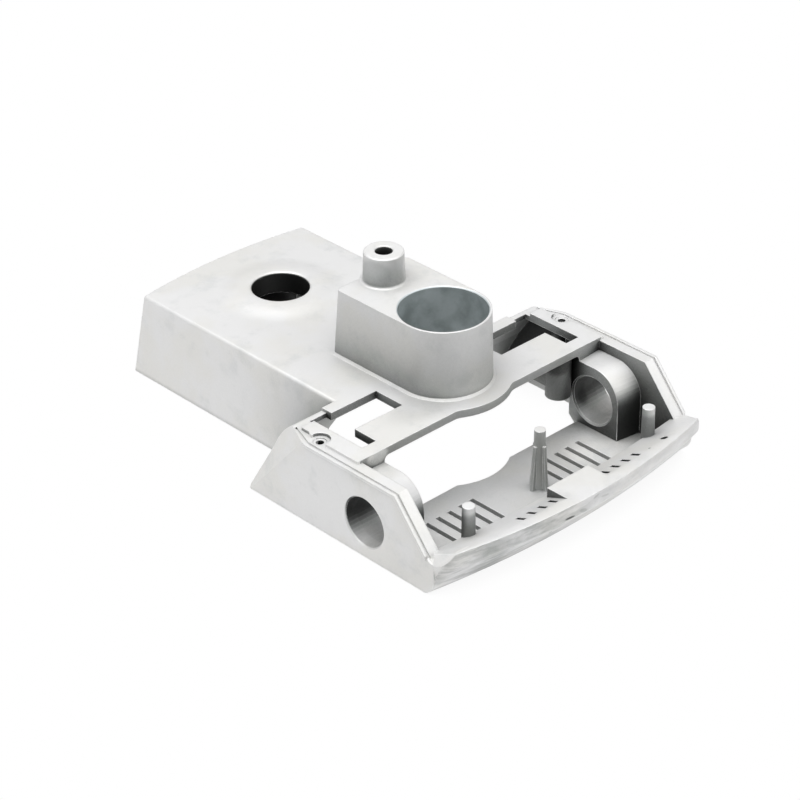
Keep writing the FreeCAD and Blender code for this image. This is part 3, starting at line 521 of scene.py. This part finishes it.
@dataclass(frozen=True)
class PaintedShadeAndMarks:
    """Painted shade on walls inside the casting, in its holes and in its crevices, painted highlights, a
    skin darker towards the bottom, and the skin's nicks, slit, flow lines and streaks.
    """

    reach: float = 120 * MM
    samples: int = 12
    upright: Step = Step(0.2, 0.9, 1.0, 0.0)
    wall_shade_tones: Stops = ((0.0, 0.01), (0.2, 0.02), (0.3, 0.04), (0.4, 0.08), (0.5, 0.25),
                         (0.6, 0.48), (0.75, 0.68), (0.9, 0.81), (1.0, 0.93))
    level_shade_tones: Stops = ((0.0, 0.02), (0.15, 0.15), (0.4, 0.76), (0.6, 0.83), (0.8, 0.92), (1.0, 1.0))
    crevice_reach: float = 3 * EDGE_RADIUS
    crevice_shade: Step = Step(0.25, 0.7, 0.6, 1.0)
    foot: Step = Step(0.0, 2.5 * MM, 0.78, 1.0)
    clouds: Grain = Grain(75.0, 5.0)
    bore_tone: Step = Step(0.35, 0.65, 0.4, 0.6)
    vents: Step = Step(3.2 * MM, 3.3 * MM, 0.6, 0.0)
    rim: Step = Step(76.0 * MM, 76.1 * MM, 0.0, 0.88)
    lugs: Step = Step(61.0 * MM, 61.5 * MM)
    cross_bore_painted_light: Step = Step(-68.5 * MM, -60.0 * MM, 1.1, 0.06)
    cross_bore_clouds: Step = Step(0.4, 0.6, 0.6, 1.2)
    hood_rear: Step = Step(110.0 * MM, 111.0 * MM)
    facing_front: Step = Step(-0.6, -0.5, 1.0, 0.0)
    darkening: float = 0.97
    columns: tuple[Column, ...] = (*(Column(post, 0.3) for post in POSTS), Column(PILLAR, 0.5))
    marks_and_painted_light: tuple[Mark, ...] = MARKS_AND_PAINTED_LIGHT
    streaks: LipStreaks = LipStreaks()

    def share(self, graph: Graph) -> Socket:
        """Find how much of the colour the painted shade and light and the skin's nicks and streaks leave.

        Args:
            graph: the material's node tree.

        Returns:
            The share.
        """
        steep = graph.ramp(graph.maths("ABSOLUTE", graph.parts(graph.normal())["Z"]), self.upright)
        clouds = graph.noise(self.clouds)
        across = graph.maths("ABSOLUTE", graph.where()["X"])
        cross_bores = graph.product(CROSS_BORE.inside(graph), graph.ramp(across, self.lugs))
        elsewhere = graph.rest(cross_bores)
        # Painted shade by how open each place is, held up to the least tones and to a paler tone on the
        # outer rims.
        tone = graph.greatest(self._shade_by_openness(graph, steep), *self._least(graph, clouds),
                              graph.product(elsewhere, graph.ramp(across, self.rim)))
        # In the cross bores, painted shade to the rear and painted light to the front.
        tone = graph.maths("ADD", graph.product(tone, elsewhere),
                           graph.product(self._painted_light_in_cross_bores(graph, clouds), cross_bores))
        # Painted shade in the neck's throat and on the inside of the hood's rear wall.
        tone = graph.product(tone, graph.rest(self._painted_shade_insides(graph)))
        for mark in self.marks_and_painted_light:
            tone = graph.product(tone, mark.share(graph, steep))
        return graph.product(tone, self.streaks.share(graph))

    def _shade_by_openness(self, graph: Graph, steep: Socket) -> Socket:
        """The painted shade by how open a place is, with painted shade in its crevices, and darker towards
        the bottom at its foot.

        Args:
            graph: the material's node tree.
            steep: how steep the face stands.

        Returns:
            The tone.
        """
        openness = graph.open_share(self.reach, self.samples)
        tone = graph.maths("ADD", graph.product(graph.curve(openness, self.wall_shade_tones), steep),
                           graph.product(graph.curve(openness, self.level_shade_tones), graph.rest(steep)))
        crevice_shade = graph.ramp(graph.open_share(self.crevice_reach), self.crevice_shade)
        return graph.product(tone, crevice_shade, graph.ramp(graph.where()["Z"], self.foot))

    def _least(self, graph: Graph, clouds: Socket) -> list[Socket]:
        """The least tones under the painted shade in the large bore, in the vents and on the columns.

        Args:
            graph: the material's node tree.
            clouds: the noise that mottles the bore.

        Returns:
            The tones, each zero away from its own region.
        """
        bore = graph.product(LARGE_BORE.inside(graph), graph.ramp(clouds, self.bore_tone))
        vents = graph.ramp(graph.where()["Z"], self.vents)
        return [bore, vents, *(column.tone(graph) for column in self.columns)]

    def _painted_light_in_cross_bores(self, graph: Graph, clouds: Socket) -> Socket:
        """The painted shade to the rear of the cross bores and painted light to their front.

        Args:
            graph: the material's node tree.
            clouds: the noise that mottles it.

        Returns:
            The tone.
        """
        return graph.product(graph.ramp(graph.where()["Y"], self.cross_bore_painted_light),
                             graph.ramp(clouds, self.cross_bore_clouds))

    def _painted_shade_insides(self, graph: Graph) -> Socket:
        """Find the neck's throat and the inside of the hood's rear wall, where shade is painted.

        Args:
            graph: the material's node tree.

        Returns:
            How far they are darkened, and zero elsewhere.
        """
        rear = graph.product(graph.ramp(graph.where()["Y"], self.hood_rear),
                             graph.ramp(graph.parts(graph.normal())["Y"], self.facing_front))
        return graph.product(graph.greatest(NECK.inside(graph), rear), self.darkening)


@dataclass(frozen=True)
class Mottle:
    """The skin's own colour: clouds and stains where the metal met the die unevenly."""

    base: Colour = grey(0.83)
    warm: Colour = (0.815, 0.81, 0.79, 1.0)
    cool: Colour = (0.61, 0.63, 0.63, 1.0)
    bore: Colour = (0.76, 0.83, 0.85, 1.0)
    clouds: Grain = Grain(32.0, 3.0)
    cloudy: Step = Step(0.42, 0.62)
    stains: Grain = Grain(70.0, 6.0, 0.65)
    stained: Step = Step(0.5, 0.72, 0.0, 0.35)

    def colour(self, graph: Graph) -> Socket:
        """Colour the skin.

        Args:
            graph: the material's node tree.

        Returns:
            The colour.
        """
        colour = graph.mix(Blend.OVER, graph.ramp(graph.noise(self.clouds), self.cloudy),
                           self.base, self.warm)
        colour = graph.mix(Blend.OVER, graph.ramp(graph.noise(self.stains), self.stained),
                           colour, self.cool)
        return graph.mix(Blend.OVER, LARGE_BORE.inside(graph), colour, self.bore)


@dataclass(frozen=True)
class Relief:
    """One layer of small bumps."""

    grain: Grain
    height: float
    strength: float

    def over(self, graph: Graph, normal: Socket) -> Socket:
        """Lay the bumps over a surface.

        Args:
            graph: the material's node tree.
            normal: the surface's normal.

        Returns:
            The new normal.
        """
        bump = graph.node("Bump")
        bump.inputs["Distance"].default_value = self.height
        bump.inputs["Strength"].default_value = self.strength
        graph.join(graph.noise(self.grain), bump.inputs["Height"])
        graph.join(normal, bump.inputs["Normal"])
        return bump.outputs["Normal"]


@dataclass(frozen=True)
class CastSkin:
    """The as-cast skin of a die casting in aluminium, with painted shade and painted highlights in its
    colour.
    """

    mottle: Mottle = Mottle()
    shade_and_marks: PaintedShadeAndMarks = PaintedShadeAndMarks()
    shade_tint: Colour = (0.965, 1.0, 0.985, 1.0)
    shade_tint_share: Step = Step(0.35, 0.8, 1.0, 0.0)
    worn: WornEdges = WornEdges()
    bright_edge: Colour = grey(0.95)
    edge_polish: float = 0.15
    metallic: float = 0.5
    grain: Grain = Grain(900.0, 5.0, 0.6)
    roughness: Step = Step(0.3, 0.7, 0.49, 0.63)
    edge_radius: float = EDGE_RADIUS
    waves: Relief = Relief(Grain(45.0, 2.0), 0.4 * MM, 0.5)
    sand: Relief = Relief(Grain(1400.0, 4.0, 0.6), 0.05 * MM, 0.35)

    def build(self) -> bpy.types.Material:
        """Make the material.

        Returns:
            The finished material.
        """
        graph = Graph("as_cast_aluminium")
        shader = graph.node("BsdfPrincipled")
        output = graph.node("OutputMaterial")
        graph.join(shader.outputs["BSDF"], output.inputs["Surface"])
        shader.inputs["Metallic"].default_value = self.metallic
        worn = self.worn.share(graph)
        # The painted shade and painted light, with the skin's nicks, flow lines and streaks.
        tone = self.shade_and_marks.share(graph)
        colour = graph.mix(Blend.DARKEN, 1.0, self.mottle.colour(graph), tone)
        # A cool tint painted into the painted shade, strongest where it is darkest.
        colour = graph.mix(Blend.DARKEN, graph.ramp(tone, self.shade_tint_share), colour, self.shade_tint)
        colour = graph.mix(Blend.OVER, worn, colour, self.bright_edge)
        graph.join(colour, shader.inputs["Base Color"])
        rough = graph.ramp(graph.noise(self.grain), self.roughness)
        rough = graph.maths("SUBTRACT", rough, graph.product(worn, self.edge_polish))
        graph.join(rough, shader.inputs["Roughness"])
        normal = self.waves.over(graph, graph.rounded(self.edge_radius))
        graph.join(self.sand.over(graph, normal), shader.inputs["Normal"])
        return graph.material


@dataclass
class Housing:
    """The casting itself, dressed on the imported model."""

    node: str = "housing"
    seam: float = 0.01 * MM
    crease: float = math.radians(28.0)
    skin: CastSkin = field(default_factory=CastSkin)

    def smoothing(self) -> bpy.types.NodeTree:
        """Make the modifier that joins the loose triangles and shades curved faces smoothly.

        Returns:
            The geometry node group.
        """
        group = bpy.data.node_groups.new("smooth_over_curves", "GeometryNodeTree")
        group.interface.new_socket("Geometry", in_out="INPUT", socket_type="NodeSocketGeometry")
        group.interface.new_socket("Geometry", in_out="OUTPUT", socket_type="NodeSocketGeometry")
        start = group.nodes.new("NodeGroupInput")
        merge = group.nodes.new("GeometryNodeMergeByDistance")
        merge.inputs["Distance"].default_value = self.seam
        faces = group.nodes.new("GeometryNodeSetShadeSmooth")
        angle = group.nodes.new("GeometryNodeInputMeshEdgeAngle")
        gentle = group.nodes.new("FunctionNodeCompare")
        gentle.data_type = "FLOAT"
        gentle.operation = "LESS_THAN"
        gentle.inputs["B"].default_value = self.crease
        edges = group.nodes.new("GeometryNodeSetShadeSmooth")
        edges.domain = "EDGE"
        end = group.nodes.new("NodeGroupOutput")
        link = group.links.new
        link(start.outputs[0], merge.inputs["Geometry"])
        link(merge.outputs["Geometry"], faces.inputs["Geometry"])
        link(faces.outputs["Geometry"], edges.inputs["Geometry"])
        link(angle.outputs["Unsigned Angle"], gentle.inputs["A"])
        link(gentle.outputs["Result"], edges.inputs["Shade Smooth"])
        link(edges.outputs["Geometry"], end.inputs[0])
        return group

    def dress(self) -> bpy.types.Object:
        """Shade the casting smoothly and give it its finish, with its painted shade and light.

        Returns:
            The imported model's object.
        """
        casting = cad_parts[self.node]
        modifier = casting.modifiers.new("smooth_over_curves", "NODES")
        modifier.node_group = self.smoothing()
        material = self.skin.build()
        if not casting.material_slots:
            casting.data.materials.append(material)
        for slot in casting.material_slots:
            slot.material = material
        return casting


@dataclass(frozen=True)
class Lamp:
    """A large square lamp: its place and the length of its sides in metres, its power in watts."""

    name: str
    place: Point
    size: float
    power: float

    def hang(self, aim: Point) -> bpy.types.Object:
        """Add the lamp, pointed at a place.

        Args:
            aim: the place.

        Returns:
            The lamp.
        """
        data = bpy.data.lights.new(self.name, "AREA")
        data.size = self.size
        data.energy = self.power
        lamp = bpy.data.objects.new(self.name, data)
        bpy.context.scene.collection.objects.link(lamp)
        lamp.location = self.place
        lamp.rotation_euler = (Vector(self.place) - Vector(aim)).to_track_quat("Z", "Y").to_euler()
        return lamp


@dataclass(frozen=True)
class Shade:
    """A patch of floor that lies in deep shade under the casting."""

    half_width: float
    rear: float
    front: float
    soft: float

    def share(self, graph: Graph) -> Socket:
        """Find the patch.

        Args:
            graph: the floor's node tree.

        Returns:
            One in the shade and zero outside.
        """
        place = graph.where()
        across = graph.ramp(graph.maths("ABSOLUTE", place["X"]),
                            Step(self.half_width - self.soft, self.half_width, 1.0, 0.0))
        return graph.product(across, graph.band(place["Y"], self.front, self.rear, self.soft))


@dataclass
class Studio:
    """The pale floor, the soft lamps and the camera."""

    aim: Point = (-0.024699, -0.032608, 0.039454)
    azimuth: float = -43.144
    elevation: float = 31.375
    roll: float = -0.725
    distance: float = 1.2005
    lens: float = 120.226
    sensor: float = 36.0
    floor_size: float = 8.0
    floor_level: float = 0.8
    contact_reach: float = 40 * MM
    contact_samples: int = 24
    contact: Step = Step(0.0, 0.5, 0.9, 1.0)
    under_hood: Shade = Shade(50 * MM, 127 * MM, 45 * MM, 6 * MM)
    under_vents: Shade = Shade(72 * MM, -63 * MM, -108 * MM, 3 * MM)
    world_strength: float = 0.35
    lamps: tuple[Lamp, ...] = (Lamp("top_light", (-0.3, 0.0, 1.6), 1.6, 30.0),
                               Lamp("left_light", (-1.5, 0.3, 0.6), 1.0, 1.5),
                               Lamp("front_light", (0.7, -1.4, 0.7), 1.0, 8.0))

    def back(self) -> Vector:
        """The direction from the object to the camera."""
        around = math.radians(self.azimuth)
        above = math.radians(self.elevation)
        return Vector((math.sin(around) * math.cos(above), -math.cos(around) * math.cos(above),
                       math.sin(above)))

    def camera(self) -> bpy.types.Object:
        """Put the camera where the photograph was taken from.

        Returns:
            The camera.
        """
        data = bpy.data.cameras.new("camera")
        data.lens = self.lens
        data.sensor_width = self.sensor
        around = math.radians(self.azimuth)
        back = self.back()
        right = Vector((math.cos(around), math.sin(around), 0.0))
        up = back.cross(right)
        turn = math.radians(self.roll)
        level = Matrix((right * math.cos(turn) + up * math.sin(turn),
                        up * math.cos(turn) - right * math.sin(turn), back)).transposed()
        camera = bpy.data.objects.new("camera", data)
        bpy.context.scene.collection.objects.link(camera)
        camera.matrix_world = Matrix.Translation(Vector(self.aim) + back * self.distance) @ level.to_4x4()
        bpy.context.scene.camera = camera
        return camera

    def floor(self) -> bpy.types.Object:
        """Lay the floor. Seen straight it is white apart from the object's soft shadow.

        Returns:
            The floor.
        """
        bpy.ops.object.select_all(action="DESELECT")
        bpy.ops.mesh.primitive_plane_add(size=self.floor_size, location=(0, 0, 0))
        floor = bpy.context.active_object
        floor.name = "floor"
        graph = Graph("floor_white")
        shader = graph.node("BsdfDiffuse")
        shader.inputs["Color"].default_value = grey(self.floor_level)
        glow = graph.node("Emission")
        graph.join(self._lit(graph), glow.inputs["Strength"])
        path = graph.node("LightPath")
        seen = graph.maths("ADD", path.outputs["Is Camera Ray"], path.outputs["Is Glossy Ray"], clamp=True)
        both = graph.node("MixShader")
        graph.join(seen, both.inputs["Fac"])
        graph.join(shader.outputs["BSDF"], both.inputs[1])
        graph.join(glow.outputs["Emission"], both.inputs[2])
        output = graph.node("OutputMaterial")
        graph.join(both.outputs["Shader"], output.inputs["Surface"])
        floor.data.materials.append(graph.material)
        return floor

    def _lit(self, graph: Graph) -> Socket:
        """How much of the floor's white shows: little under the hood and under the vented floor.

        Args:
            graph: the floor's node tree.

        Returns:
            One in the open and zero in full shade.
        """
        shade = graph.greatest(self.under_hood.share(graph), self.under_vents.share(graph))
        near = graph.open_share(self.contact_reach, self.contact_samples, alone=False)
        return graph.product(graph.ramp(near, self.contact), graph.rest(shade))

    def world(self) -> None:
        """Fill the surroundings with even, pale light."""
        world = bpy.data.worlds.new("studio")
        bpy.context.scene.world = world
        world.use_nodes = True
        background = world.node_tree.nodes["Background"]
        background.inputs["Color"].default_value = grey(1.0)
        background.inputs["Strength"].default_value = self.world_strength

    def build(self) -> None:
        """Set up the whole studio."""
        self.camera()
        self.floor()
        self.world()
        for lamp in self.lamps:
            lamp.hang(self.aim)
        bpy.context.scene.view_settings.view_transform = "Standard"


def main() -> None:
    """Build the scene."""
    logging.basicConfig(level=logging.INFO, format="%(name)s: %(message)s")
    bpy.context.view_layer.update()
    casting = Housing().dress()
    LOG.info("%s dressed with %s", casting.name, casting.active_material.name)
    Studio().build()
    LOG.info("studio built")


if __name__ == "__main__":
    main()
